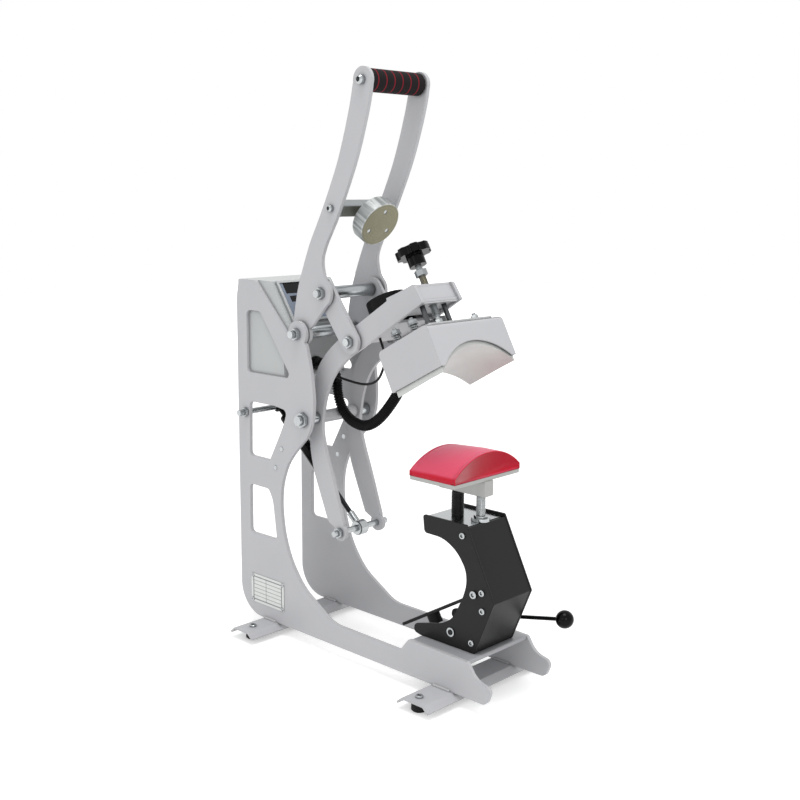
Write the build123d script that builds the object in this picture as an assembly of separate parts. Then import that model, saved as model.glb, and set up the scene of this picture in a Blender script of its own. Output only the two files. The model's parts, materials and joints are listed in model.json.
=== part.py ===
from build123d import *
import math
import os

os.makedirs("parts", exist_ok=True)

# Sizes are in mm. Side-view points are (f, z): f runs forward from the side plates' back edge and
# z runs up from the foot bars' top face. x is across, negative on the operator's right-hand plate.

# Driving sizes -------------------------------------------------------------------------------
FRAME_W = 146.0        # over the two side plates
PLATE_T = 6.0          # side plates, handle arms, links and head arms
FOOT_H = 20.0          # floor to the foot bars' top face
FOOT_SPAN = 274.0      # foot bars, end to end
HANDLE_GAP = 4.0       # side plate to handle arm
LINK_GAP = 3.0         # handle arm to link, and link to head arm
RUN = 0.05             # running clearance on a radius
PIN_R = 6.0            # handle, link and arm pins
SHAFT_R = 8.0          # main shaft of the head arms
TUBE_R = 10.0          # tubes over the main shaft
ROD_R = 5.0            # gas spring rods
LOBE_R = 21.0          # round of plate metal about a pin
PAD_W = 150.0          # cap platen, across
PAD_F0, PAD_F1 = 399.0, 488.0
PAD_Z0 = 312.5         # underside of the silicone pad
CREASE_F = 455.0       # the pad's crown runs level in front of this and falls away behind it
CROWN_TOP, CROWN_R = 350.5, 111.5            # pad's arc in front of the crease
CROWN_FALL, CROWN_SPREAD = 0.066, 0.116      # drop and growth of that arc per mm behind it
PLATEN_STUD_R = 6.5
PLATEN_F = 475.0       # platen stud
POST_R = 9.0           # black post behind it
GUIDE_X = 24.0         # head guide pins
EYE_X = 7.0            # half width of the gas spring's lower eye
PAD_GAP = 0.3          # pad to heater when the press is shut
HEATER_T = 8.0
HOUSING_W = 168.0
HOUSING_F0, HOUSING_F1 = 382.0, 490.0
HOUSING_Z0, HOUSING_Z1 = 325.5, 389.5
ARCH_TOP, ARCH_R = 356.3, 106.3              # arch in the housing's front and back
SHEET_T = 2.0          # folded covers
MAGNET_R = 33.0        # holding magnet
ARMATURE_R, ARMATURE_T = 36.5, 23.5
STUD_F = 442.0         # pressure stud, in front of the back edge
STUD_R = 5.0
KNOB_R = 27.0
ARM_TOP = 462.5        # head arms' top edge, shut
TOP_T = 4.0            # plates between the head arms
TABLE_Z = 56.0         # lower table's top face
TABLE_F0, TABLE_F1 = 399.0, 515.0
TABLE_LIP = 6.0
STAND_W = 90.0
STAND_T = 3.0
STAND_TOP = 244.0      # platen seat
BALL_R = 13.5
HOSE_R = 7.5           # over the ribs
HOSE_BORE = 5.0
RIB_H = 1.1
RIBS = 120
CABLE_R = 2.0
GRIP_R = 17.0
OPEN = 28.3            # head arms' swing, open to shut, degrees
HANDLE_OPEN = 60.206   # handle's swing, open to shut

# Pins, in the side view with the press open
A = (151.0, 498.0)     # handle on the side plates
B = (197.0, 565.0)     # handle to links
C = (251.0, 493.0)     # links to head arms
D = (165.0, 361.0)     # head arms on the side plates
E = (219.6, 179.6)     # gas spring to head arms
F = (20.0, 354.0)      # gas spring to side plates
BALL = (PLATEN_F + 120.0, 108.0)
AXLE = (PLATEN_F + 27.4, 147.0)   # hold-down strap
CROSS = (PLATEN_F - 15.5, 78.0)   # hold-down lever

Y_MID = (BALL[0] + BALL_R) / 2
X1 = FRAME_W / 2
X0 = X1 - PLATE_T
HANDLE_X1 = X0 - HANDLE_GAP
HANDLE_X0 = HANDLE_X1 - PLATE_T
LINK_X1 = HANDLE_X0 - LINK_GAP
LINK_X0 = LINK_X1 - PLATE_T
ARM_X1 = LINK_X0 - LINK_GAP
ARM_X0 = ARM_X1 - PLATE_T
STAND_X = STAND_W / 2

SIDE = [(6, 577, 4), (0, 546, 20), (0, 0, 53), (552, 0, 12), (561.5, 26, 9), (531, 33, 30),
        (515.2, 55.5, 4), (399, 57, 5), (381.6, 35.1, 10), (232.3, 36.3), (200.7, 54.4), (159.5, 78.1),
        (128.3, 118.9), (112.1, 161.9), (106.5, 205), (109, 243.5), (123.4, 279.9), (146.1, 307.1),
        (174.5, 333.7), (187, 362), (189.4, 396.8), (184, 440), (172.4, 482.7, 20), (151, 498, 0),
        (125, 499, 6), (49, 577, 4)]
WINDOWS = [
    [(25, 423, 7), (25, 527, 9), (60, 527, 12), (137, 424, 7)],
    [(30, 374, 8), (94.6, 374.2, 20), (125, 370, 8), (114.5, 342), (80.4, 281, 6), (28, 281, 8)],
    [(27, 231.7, 8), (76.3, 231, 10), (86.8, 213.6), (96, 147, 6), (27, 146.3, 8)],
]
PLUGS = [(110.1, 304.4), (94.3, 282.3 - 12)]
HANDLE_BACK = [(131, 503), (133.5, 529), (143, 570), (152, 594), (160.4, 615), (172.5, 643),
               (199.3, 690), (223, 738), (236.5, 768), (251.4, 811), (263.5, 853), (269.4, 882)]
HANDLE_FRONT = [(307, 884), (304.3, 863.4), (297.8, 837), (284.8, 796), (274.4, 768), (261, 738),
                (235, 685), (207.5, 640), (198, 617), (203, 591), (218, 574), (217, 556), (168, 503)]
HANDLE_TOP = (288.0, 882.0)
ARM_LEVEL = [(273.8, 452.7), (352.8, 458.7), (398.3, ARM_TOP, 1), (399.3, ARM_TOP + 4.1, 1), (431, ARM_TOP + 1),
             (459.3, ARM_TOP - 0.2, 3), (463.2, 430.4, 3), (307.8, 419)]
ARM_BACK = [(241.9, 468), (204.4, 435), (184.3, 393.5), (176.8, 342), (186.5, 307.6), (206.3, 256.4),
            (229, 191), (219.6, 179.6, 0), (191.7, 193, 0), (157, 274), (148.8, 311), (150, 360),
            (166, 440.6), (187.7, 468.3)]
STAND_FROM_STUD = [(-74.5, 247.5, 4), (-71.3, 220, 6), (-33.3, 219.4), (-5.8, 204.3), (11.1, 180.4),
                   (13.1, 159.5), (6.8, 138.3), (-12, 100.8), (-33.7, 86), (-62.1, 79.3), (-89.5, 71.7),
                   (-90.8, TABLE_Z + 3, 6), (-77.7, TABLE_Z, 3), (29.8, TABLE_Z, 3), (64.7, 140.8, 3),
                   (11, 248.2, 3)]
BOX = [(4, 577, 4), (80, 577, 4), (127, 508, 3), (120, 484, 4), (112, 457, 5), (112, 419, 5), (4, 419, 4)]


# Building blocks -----------------------------------------------------------------------------
def from_stud(*points):
    """Side-view points of the stand, which are written forward of the platen stud."""
    return [(PLATEN_F + p[0], *p[1:]) for p in points]


def at(f, z):
    """The (y, z) of a side-view point."""
    return Y_MID - f, z + FOOT_H


def turned(point, about, degrees):
    """A side-view point turned back (opened) by this many degrees about another."""
    c, s = math.cos(math.radians(degrees)), math.sin(math.radians(degrees))
    df, dz = point[0] - about[0], point[1] - about[1]
    return (about[0] + df * c - dz * s, about[1] + df * s + dz * c, *point[2:])


def outline(points):
    """A closed side-view face. A corner is (f, z, radius); with no radius it is a wide curve."""
    corners = [Vector(0, *at(p[0], p[1])) for p in points]
    edges, joints = [], []
    for i, corner in enumerate(corners):
        back, ahead = corners[i - 1] - corner, corners[(i + 1) % len(corners)] - corner
        half = math.radians(180 - back.get_angle(ahead)) / 2
        room = 0.45 * min(back.length, ahead.length)
        cut = room if len(points[i]) < 3 else min(points[i][2] * math.tan(half), room)
        start, end = corner + back.normalized() * cut, corner + ahead.normalized() * cut
        if cut > 0.01 and half > 0.002:
            radius = cut / math.tan(half)
            bulge = (back.normalized() + ahead.normalized()).normalized()
            middle = corner + bulge * radius * (1 / math.cos(half) - 1)
            edges.append(ThreePointArc(start, middle, end))
        else:
            start = end = corner
        joints.append((start, end))
    for i, (_, end) in enumerate(joints):
        following = joints[(i + 1) % len(joints)][0]
        if (following - end).length > 1e-4:
            edges.append(Line(end, following))
    return make_face(edges)


def slab(points, x0, x1):
    """A side-view outline as solid metal from x0 to x1."""
    return extrude(Pos(x0, 0, 0) * outline(points), x1 - x0, dir=(1, 0, 0))


def rod(point, radius, x0, x1):
    """A round bar across the press about a side-view point."""
    return Pos((x0 + x1) / 2, *at(*point[:2])) * Rot(0, 90, 0) * Cylinder(radius, abs(x1 - x0))


def block(x0, x1, f0, f1, z0, z1):
    y, z = at((f0 + f1) / 2, (z0 + z1) / 2)
    return Pos((x0 + x1) / 2, y, z) * Box(x1 - x0, f1 - f0, z1 - z0)


def post(x, f, radius, z0, z1):
    """An upright round bar."""
    y, z = at(f, (z0 + z1) / 2)
    return Pos(x, y, z) * Cylinder(radius, z1 - z0)


def hexagon(flats, height):
    return extrude(RegularPolygon(flats / 2, 6, major_radius=False), height)


def side_nut(point, flats, x, height):
    """A hexagon nut on a cross pin, standing out from the plane x."""
    turn = 90 if x > 0 else -90
    return Pos(x, *at(*point[:2])) * Rot(0, turn, 0) * hexagon(flats, height)


def top_nut(x, f, flats, z, height):
    y, z = at(f, z)
    return Pos(x, y, z) * hexagon(flats, height)


def side_screw(point, radius, x, height):
    """A low domed screw head with a socket, standing out from the plane x."""
    out = math.copysign(1, x)
    head = rod(point, radius, x, x + out * height)
    head = chamfer(head.edges().filter_by(GeomType.CIRCLE).sort_by(Axis.X)[-1 if out > 0 else 0], height * 0.3)
    return head - side_nut(point, radius, x + out * height * 0.3, height)


def top_screw(x, f, radius, z, height):
    head = post(x, f, radius, z, z + height)
    head = chamfer(head.edges().filter_by(GeomType.CIRCLE).sort_by(Axis.Z)[-1], height * 0.3)
    return head - top_nut(x, f, radius, z + height * 0.5, height)


def both(part):
    """The part and its mirror on the other side of the press."""
    return Compound([part, mirror(part, about=Plane.YZ)])


def left_right(name, part):
    """Writes a part for the x < 0 side and its mirror."""
    save(name + "_left", mirror(part, about=Plane.YZ))
    save(name + "_right", part)


def shut_to_open(part):
    """Swings what is drawn with the head level back to where it stands with the press open."""
    return part.rotate(Axis((0, *at(*D)), (1, 0, 0)), -OPEN)


def handle_back(part):
    """Swings what is drawn with the handle down back to where it stands with the press open."""
    return part.rotate(Axis((0, *at(*A)), (1, 0, 0)), -HANDLE_OPEN)


def solids_of(part):
    parts = part if isinstance(part, (list, tuple)) else [part]
    return [solid for piece in parts for solid in piece.solids()]


def save(name, part):
    found = solids_of(part)
    export_step(found[0] if len(found) == 1 else Compound(found), f"parts/{name}.step")


# Frame ---------------------------------------------------------------------------------------
side = slab(SIDE, X0, X1) + rod(A, LOBE_R, X0, X1)
for window in WINDOWS:
    side -= slab(window, X0 - 1, X1 + 1)
for pin, radius in ((A, PIN_R), (D, SHAFT_R), (F, ROD_R)):
    side -= rod(pin, radius, X0 - 1, X1 + 1)
for plug in PLUGS:
    side -= rod(plug, 4, X0 - 1, X1 + 1)
left_right("side_plate", side)
frame_screws = [both(rod(plug, 4, X0, X1 + 0.6)) for plug in PLUGS]

FOOT_T = 3.0
FOOT_FS = ((59.0, 94.0, 112.0, 77.0), (447.0, 488.0, 118.0, 464.0))
foot_bars = []
for f0, f1, screw_x, screw_f in FOOT_FS:
    section = [(f0, 0, 2), (f1, 0, 2), (f1 + 11, -9, 0), (f1 + 9, -11.5, 0), (f1 - 1, -FOOT_T, 0),
               (f0 + 1, -FOOT_T, 0), (f0 - 9, -11.5, 0), (f0 - 11, -9, 0)]
    bar = slab(section, -FOOT_SPAN / 2, FOOT_SPAN / 2)
    for x in (-screw_x, screw_x):
        bar -= post(x, screw_f, 3, -5, 1)
    foot_bars.append(bar)
save("foot_bars", foot_bars)
feet = []
for _, _, x, f in FOOT_FS:
    for side_x in (-x, x):
        foot = post(side_x, f, 12, -FOOT_H, -FOOT_T)
        foot = chamfer(foot.edges().filter_by(GeomType.CIRCLE).sort_by(Axis.Z)[0], 2)
        feet.append(foot - post(side_x, f, 3, -12, 0))
        frame_screws.append(top_screw(side_x, f, 6, 0, 3.4) + post(side_x, f, 3, -12, 0))
save("rubber_feet", feet)

TABLE_LOW = TABLE_Z - TABLE_LIP
table = slab([(TABLE_F0, TABLE_LOW, 0), (TABLE_F0, TABLE_Z, 3), (TABLE_F1, TABLE_Z, 3),
              (TABLE_F1, TABLE_LOW, 0), (TABLE_F1 - 3, TABLE_LOW, 0), (TABLE_F1 - 3, TABLE_Z - 3, 0.5),
              (TABLE_F0 + 3, TABLE_Z - 3, 0.5), (TABLE_F0 + 3, TABLE_LOW, 0)], -X0, X0)
save("table", table)

# Pins carried by the frame
handle_pins = rod(A, PIN_R, HANDLE_X0 - 4, X1 + 15) + rod(A, 9, HANDLE_X0 - 4, HANDLE_X0 - 0.2)
handle_pins += rod(A, 10, HANDLE_X1 + 0.2, X0)
frame_pins = [both(handle_pins), rod(F, ROD_R, -X1 - 16, X1 + 16)]
frame_nuts = [both(side_nut(pin, flats, X1, height) - rod(pin, radius, X1 - 1, X1 + 20))
              for pin, radius, flats, height in ((A, PIN_R, 17, 8), (D, SHAFT_R, 22, 8), (F, ROD_R, 14, 6))]
spacer = rod(D, TUBE_R, ARM_X1 + 0.2, X0) - rod(D, SHAFT_R, ARM_X1 - 1, X0 + 1)
save("main_shaft", [rod(D, SHAFT_R, -X1 - 14, X1 + 14), both(spacer)])

# Nameplate, left bare
tag = slab([(27.5, 23.6, 2), (27.5, 73.8, 2), (112.5, 73.8, 2), (112.5, 23.6, 2)], -X1 - 0.8, -X1)
save("nameplate", tag)
frame_screws += [rod((f, z), 1.8, -X1 - 1.8, -X1 - 0.8) for f in (31.5, 108.5) for z in (27.5, 70)]

# Control box between the side plates
BOX_REAR = 4.0
box = slab(BOX, -X0, X0)
inner = [(BOX_REAR - 2, 577 - 2, 2), (79, 575, 3), (124.5, 507.5, 2), (118, 484.7, 3), (110, 457.5, 4),
         (110, 421, 4), (BOX_REAR - 2, 421, 2)]
box -= slab(inner, -X0 + SHEET_T, X0 - SHEET_T)
GLAND = (112.0, 440.0)
BOX_SLOPE = math.degrees(math.atan2(577 - 508, 127 - 80))


def on_slope(part, along, out=0.0):
    """Places a part drawn on the xy plane onto the box's sloped front, this far down from its top edge."""
    share = along / math.hypot(47, 69)
    y, z = at(80 + 47 * share, 577 - 69 * share)
    return Pos(0, y, z) * Rot(BOX_SLOPE, 0, 0) * Pos(0, 0, out) * part


def along_f(x, point, radius, f0, f1):
    """A round bar running forward from f0 to f1 at the height of a side-view point."""
    y, z = at((f0 + f1) / 2, point[1])
    return Pos(x, y, z) * Rot(90, 0, 0) * Cylinder(radius, f1 - f0)


box -= along_f(0, GLAND, HOSE_R + 1, 100, 120)
box -= along_f(-20, (0, 441), CABLE_R + 1, 100, 120)
rear = block(-X0 + SHEET_T, X0 - SHEET_T, 2, BOX_REAR, 421, 575)
rear -= block(-50, -22, 0, 6, 434, 456) + block(10, 30, 0, 6, 440, 452)
save("control_box", [box, rear])
inlet = block(-50, -22, -1, 20, 434, 456) - block(-46, -26, -2, 12, 438, 452)
for x, z in ((-41, 443), (-31, 443), (-36, 448)):
    inlet += block(x - 1, x + 1, 4, 12, z - 2, z + 2)
switch_frame = block(10, 30, -1, 14, 440, 452) - block(12, 28, -2, 12, 442, 450)
save("mains_switch", block(12.1, 27.9, -3, 9.8, 442.1, 449.9))

PANEL_W, PANEL_L, PANEL_AT = 118.0, 76.0, 41.0     # across, along the slope, and its middle
RIM = 4.0
WINDOWS_ON_PANEL = ((96, 20, 17), (88, 11, 37))    # across, along, and middle of each dark window
button_xs = (-30, 0, 30)
bezel = on_slope(Box(PANEL_W, PANEL_L, 5) - Box(PANEL_W - 2 * RIM, PANEL_L - 2 * RIM, 6), PANEL_AT, 2.5)
bezel += on_slope(Box(PANEL_W - 2 * RIM, PANEL_L - 2 * RIM, 3), PANEL_AT, 1.5)
label = on_slope(Box(PANEL_W - 2 * RIM - 0.4, PANEL_L - 2 * RIM - 0.4, 0.8), PANEL_AT, 3.4)
glasses = []
for wide, long, along in WINDOWS_ON_PANEL:
    bezel -= on_slope(Box(wide, long, 12), along, 2)
    label -= on_slope(Box(wide, long, 12), along, 2)
    glasses.append(on_slope(Box(wide, long, 3), along, 1.5))
for x in button_xs:
    bezel -= on_slope(Pos(x, 0, 0) * Cylinder(6, 12), 61, 2)
    label -= on_slope(Pos(x, 0, 0) * Cylinder(6, 12), 61, 2)
save("panel_bezel", bezel)
save("panel_label", label)
save("display_window", glasses)
buttons = [on_slope(Pos(x, 0, 0) * Cylinder(6 - RUN, 4.4), 61, 3.6) for x in button_xs]
for number, button in enumerate(buttons, 1):
    save(f"panel_button_{number}", button)

gland = along_f(0, GLAND, 11.5, 112, 118) + along_f(0, GLAND, 10, 118, 130)
gland += along_f(0, GLAND, HOSE_R + 1, 108, 112)
save("box_fittings", [inlet, switch_frame, gland - along_f(0, GLAND, HOSE_R, 100, 140)])

# Stand and cap platen ------------------------------------------------------------------------
stand_side = slab(from_stud(*STAND_FROM_STUD), STAND_X - STAND_T, STAND_X)
stand_side -= rod(AXLE, 5, STAND_X - 10, STAND_X + 5)
stand_side -= rod(CROSS, 4 + RUN, STAND_X - 10, STAND_X + 5)
save("stand_sides", both(stand_side))
STAND_IN = STAND_X - STAND_T
SEAT_REAR = PLATEN_F - 73.0
stand_front = from_stud((-73, TABLE_Z, 0), (29.2, TABLE_Z, 2), (64.1, 140.8, 2), (12.6, STAND_TOP - 0.5, 0),
                        (9.4, STAND_TOP - 0.5, 0), (61, 140.8, 2), (27.3, TABLE_Z + 2.5, 0),
                        (-73, TABLE_Z + 2.5, 0))
save("stand_front", slab(stand_front, -STAND_IN, STAND_IN))
seat = block(-STAND_IN, STAND_IN, SEAT_REAR, PLATEN_F + 7.5, STAND_TOP - 4, STAND_TOP)
seat -= post(0, PLATEN_F, PLATEN_STUD_R, STAND_TOP - 10, STAND_TOP + 10)
save("stand_seat", seat)
PLATEN_T = 5.5
BAR_Z = PAD_Z0 - PLATEN_T - 24   # underside of the bar below the platen
platen_post = post(0, PLATEN_F - 45, POST_R, STAND_TOP, BAR_Z)
save("platen_post", chamfer(platen_post.edges().filter_by(GeomType.CIRCLE).sort_by(Axis.Z)[-1], 2.5))
frame_pins.append(post(0, PLATEN_F, PLATEN_STUD_R, STAND_TOP - 16, BAR_Z + 15))
flange_nut = top_nut(0, PLATEN_F, 18, STAND_TOP + 5, 3) + post(0, PLATEN_F, 14, STAND_TOP, STAND_TOP + 5)
lower_nut = top_nut(0, PLATEN_F, 18, STAND_TOP - 14, 10)
frame_nuts += [n - post(0, PLATEN_F, PLATEN_STUD_R, 200, 300) for n in (flange_nut, lower_nut)]
save("frame_nuts", frame_nuts)
bar = block(-9.5, 9.5, PLATEN_F - 75, PLATEN_F + 15, BAR_Z, PAD_Z0 - PLATEN_T)
bar = fillet(bar.edges().filter_by(Axis.X), 2)
plate = block(-PAD_W / 2, PAD_W / 2, PAD_F0, PAD_F1, PAD_Z0 - PLATEN_T, PAD_Z0)
stud_hole = post(0, PLATEN_F, PLATEN_STUD_R, BAR_Z - 3, BAR_Z + 15)
save("platen_plate", [bar - stud_hole, fillet(plate.edges().filter_by(Axis.Z), 4)])


def arch(f, half, low, out):
    """The cap's curve across the press at f, this far out of the pad, closed by a level edge or, for a
    shell, by a second arc."""
    behind = max(CREASE_F - f, 0)
    radius = CROWN_R + behind * CROWN_SPREAD
    middle = CROWN_TOP - behind * CROWN_FALL - radius
    y = at(f, 0)[0]

    def over(reach, start, end):
        side = FOOT_H + middle + math.sqrt(reach ** 2 - half ** 2)
        return ThreePointArc((start, y, side), (0, y, FOOT_H + middle + reach), (end, y, side))

    top = over(radius + out, -half, half)
    if low is None:
        bottom = over(radius + PAD_GAP, half, -half)
    else:
        bottom = Line((half, y, low + FOOT_H), (-half, y, low + FOOT_H))
    return make_face([top, Line(top @ 1, bottom @ 0), bottom, Line(bottom @ 1, top @ 0)])


def arched(f0, f1, half, low, out):
    """A solid under the cap's curve from f0 to f1, straight on both sides of the crease."""
    return loft([arch(f, half, low, out) for f in (f0, CREASE_F, f1)], ruled=True)


pad = arched(PAD_F0, PAD_F1, PAD_W / 2, PAD_Z0, 0)
save("silicone_pad", pad)

save("frame_pins", frame_pins + [rod(AXLE, 5, -STAND_X - 1, STAND_X + 1)])
STAND_SCREWS = from_stud((3.8, 230.8), (42.4, 153), (43.8, 125.6), (24.4, 71.7))
heads = [side_screw(p, 5, STAND_X, 2.6) for p in STAND_SCREWS]
heads.append(side_screw(AXLE, 6, STAND_X + 1, 2.8))
bush = rod(CROSS, 7, -STAND_X - 2, -STAND_X) - rod(CROSS, 4 + RUN, -STAND_X - 3, STAND_X)
save("frame_screws", frame_screws + [both(head) for head in heads] + [bush])

# Hold-down strap and its lever
strap_angle = math.atan2(105, 178.8)
cos_s, sin_s = math.cos(strap_angle), math.sin(strap_angle)
strap_line = [(AXLE[0] + u * cos_s - v * sin_s, AXLE[1] + u * sin_s + v * cos_s, 2)
              for u, v in ((0, -2.5), (0, 2.5), (-207, 2.5), (-207, -2.5))]
strap = slab(strap_line, -7, 7) + rod(AXLE, 11, -7, 7) - rod(AXLE, 5 + RUN, -8, 8)
save("hold_down_strap", strap)
BUMPER_BACK = 119.4    # strap's pin to its bumper, measured level
strap_seat = (AXLE[0] - BUMPER_BACK, AXLE[1] - BUMPER_BACK * math.tan(strap_angle) - 2.5 / cos_s)
bumper = Pos(0, *at(*strap_seat)) * Rot(math.degrees(strap_angle) * -1, 0, 0) * Pos(0, 0, -8) * Cylinder(10.5, 16)
save("strap_bumper", bumper)

lever_x = STAND_X + 7
direction = Vector(0, *at(*BALL)) - Vector(0, *at(*CROSS))
reach = direction.length
lever_axis = Plane(origin=(lever_x, *at(*CROSS)), z_dir=direction)
hub = rod(CROSS, 9, STAND_X + 0.2, lever_x + 5) - rod(CROSS, 4, STAND_X - 1, lever_x + 6)
hub -= lever_axis * Pos(0, 0, 25) * Cylinder(3, 36)
handle_rod = lever_axis * Pos(0, 0, (7 + reach - 8) / 2) * Cylinder(3, reach - 8 - 7)
ball = lever_axis * Pos(0, 0, reach) * Sphere(BALL_R) - lever_axis * Pos(0, 0, reach - 15 + 3.5) * Cylinder(3, 7)
ball -= lever_axis * Pos(0, 0, reach - 12) * Cylinder(3, 8)
save("lever_ball", ball)
finger = slab([(CROSS[0] + f, CROSS[1] + z, r) for f, z, r in ((-4.5, 0, 0), (-2.5, 38, 1), (2.5, 41, 1), (4.5, 0, 0))],
              -5, 5) + rod(CROSS, 8, -5, 5)
save("lever_shaft", [rod(CROSS, 4, -STAND_X - 3, lever_x + 5), hub, handle_rod, finger - rod(CROSS, 4, -6, 6)])

# Handle --------------------------------------------------------------------------------------
handle = slab(HANDLE_BACK + [(282, 897), (294, 897)] + HANDLE_FRONT, HANDLE_X0, HANDLE_X1)
handle += rod(HANDLE_TOP, 19, HANDLE_X0, HANDLE_X1) + rod(A, LOBE_R - 1, HANDLE_X0, HANDLE_X1)
handle += rod(B, LOBE_R + 1, HANDLE_X0, HANDLE_X1)
BAR_SHUT = (357.5, 535.5)
BAR = turned(BAR_SHUT, A, HANDLE_OPEN)
handle -= rod(A, PIN_R + RUN, 0, 99) + rod(B, PIN_R, 0, 99) + rod(HANDLE_TOP, 4, 0, 99) + rod(BAR, 4, 0, 99)
left_right("handle_arm", handle)
GRIP_RINGS = [-46.5 + 17.1 * n for n in range(6)]
grip = rod(HANDLE_TOP, GRIP_R, -HANDLE_X0 + 1, HANDLE_X0 - 1)
grip = fillet(grip.edges().filter_by(GeomType.CIRCLE), 2.5) - rod(HANDLE_TOP, 11, -60, 60)
rings = [rod(HANDLE_TOP, GRIP_R, x, x + 2.2) - rod(HANDLE_TOP, GRIP_R - 1.5, x - 1, x + 3) for x in GRIP_RINGS]
for ring in rings:
    grip -= ring
save("grip_foam", grip)
save("grip_rings", rings)
grip_tube = rod(HANDLE_TOP, 11, -HANDLE_X0, HANDLE_X0) - rod(HANDLE_TOP, 4, -60, 60)
handle_bolts = [both(rod(HANDLE_TOP, 4, 30, HANDLE_X1) + side_screw(HANDLE_TOP, 7, HANDLE_X1, 9))]
cross_bar = block(-HANDLE_X0, HANDLE_X0, BAR_SHUT[0] - 10, BAR_SHUT[0] + 10, BAR_SHUT[1] - 10, BAR_SHUT[1] + 10)
cross_bar = fillet(cross_bar.edges().filter_by(Axis.X), 2)
cross_bar = handle_back(cross_bar) - rod(BAR, 4, -60, 60)
save("handle_bars", [grip_tube, cross_bar])
handle_bolts.append(both(rod(BAR, 4, 30, HANDLE_X1) + side_screw(BAR, 5.5, HANDLE_X1, 7)))
DISC_Z = 486.0
disc = post(0, BAR_SHUT[0], ARMATURE_R, DISC_Z, DISC_Z + ARMATURE_T)
disc = fillet(disc.edges().filter_by(GeomType.CIRCLE), 1.5)
for n in range(3):
    angle = math.radians(90 + 120 * n)
    x, f = 22 * math.cos(angle), BAR_SHUT[0] + 22 * math.sin(angle)
    disc -= post(x, f, 3.5, DISC_Z - 1, DISC_Z + 4)
    handle_bolts.append(handle_back(post(x, f, 3.5, DISC_Z + 0.6, DISC_Z + 4)))
boss = post(0, BAR_SHUT[0], 12.5, DISC_Z + ARMATURE_T, BAR_SHUT[1] - 10)
save("armature", [handle_back(disc), handle_back(boss)])
link_shaft = rod(B, PIN_R, -HANDLE_X1 - 12, HANDLE_X1 + 12) + rod(B, SHAFT_R, -LINK_X0 + 0.3, LINK_X0 - 0.3)
for x in (LINK_X1 + 0.3, -HANDLE_X0):
    link_shaft += rod(B, 10, x, x + HANDLE_X0 - LINK_X1 - 0.3)
save("link_shaft", link_shaft)
handle_bolts.append(both(side_nut(B, 17, HANDLE_X1, 7) - rod(B, PIN_R, HANDLE_X1 - 1, 99)))
save("handle_bolts", handle_bolts)

# Links ---------------------------------------------------------------------------------------
LINK_R = 19.0
slope = math.atan2(C[1] - B[1], C[0] - B[0])
across = (-math.sin(slope) * LINK_R, math.cos(slope) * LINK_R)
corners = [(p[0] + s * across[0], p[1] + s * across[1], 0) for p, s in ((B, 1), (C, 1), (C, -1), (B, -1))]
link = slab(corners, LINK_X0, LINK_X1) + rod(B, LINK_R, LINK_X0, LINK_X1) + rod(C, LINK_R, LINK_X0, LINK_X1)
link -= rod(B, PIN_R + RUN, 0, 99) + rod(C, PIN_R, 0, 99)
left_right("link", link)
link_bolt = rod(C, PIN_R, ARM_X1 + 0.15, LINK_X1 + 9) + side_nut(C, 17, LINK_X1, 6)
link_bolt += rod(C, 10, ARM_X1 + 0.15, LINK_X0)
save("link_bolts", both(link_bolt))

# Head arms -----------------------------------------------------------------------------------
arm = slab([turned(p, D, OPEN) for p in ARM_LEVEL] + ARM_BACK, ARM_X0, ARM_X1)
arm += rod(E, 14, ARM_X0, ARM_X1)
arm -= rod(D, SHAFT_R + RUN, 0, 99) + rod(E, ROD_R, 0, 99) + rod(C, PIN_R, 0, 99)
left_right("head_arm", arm)
arm_fasteners = [both(rod(C, PIN_R, ARM_X0 - 7, ARM_X1) + side_nut(C, 17, ARM_X0 - 6, 6)),
                 rod(E, ROD_R, -ARM_X1 - 14, ARM_X1 + 14),
                 both(side_nut(E, 15, ARM_X1, 7) - rod(E, ROD_R, 40, 70)),
                 both(rod(E, 11, EYE_X + 0.3, EYE_X + 2.3) - rod(E, ROD_R, 0, 20))]
save("arm_fasteners", arm_fasteners)
arm_tube = rod(D, TUBE_R, -ARM_X0, ARM_X0) - rod(D, SHAFT_R + RUN, -60, 60)
PLATE_F = 455.3        # front plate, set back from the arms' ends
UNDER = ARM_TOP - TOP_T
front = slab([(PLATE_F - TOP_T, UNDER, 0), (PLATE_F, UNDER, 0), (PLATE_F + 3.9, 430.4, 0),
              (PLATE_F + 3.9 - TOP_T, 430.4, 0)], -ARM_X0, ARM_X0)
top = block(-ARM_X0, ARM_X0, 399, PLATE_F, UNDER, ARM_TOP)
top -= post(0, STUD_F, STUD_R + RUN, UNDER - 2, ARM_TOP + 2)
save("arm_top_plate", shut_to_open(top))
SEAT_Z = 430.0         # magnet's seat
C_SHUT = turned(C, D, -OPEN)
seat = block(-ARM_X0, ARM_X0, C_SHUT[0] + 14.7, 399, SEAT_Z - TOP_T, SEAT_Z)
seat -= post(-20, 335, CABLE_R + 0.5, SEAT_Z - 10, SEAT_Z + 5)
magnet = post(0, BAR_SHUT[0], MAGNET_R, SEAT_Z, DISC_Z - 3)
magnet = fillet(magnet.edges().filter_by(GeomType.CIRCLE), 2)
magnet += post(0, BAR_SHUT[0], 14, DISC_Z - 4, DISC_Z - PAD_GAP)
save("holding_magnet", shut_to_open(magnet))
GUIDE_Z = UNDER - 21.5
guide = block(-ARM_X0, ARM_X0, 405, PLATE_F + 3.9, GUIDE_Z - TOP_T, GUIDE_Z)
guide -= post(0, STUD_F, STUD_R + 1.5, GUIDE_Z - 10, GUIDE_Z + 5)
for x in (-GUIDE_X, GUIDE_X):
    guide -= post(x, STUD_F, 4 + RUN, GUIDE_Z - TOP_T - 2, GUIDE_Z + 2)
save("arm_cross_plates", [arm_tube] + [shut_to_open(plate) for plate in (front, seat, guide - front)])

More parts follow.
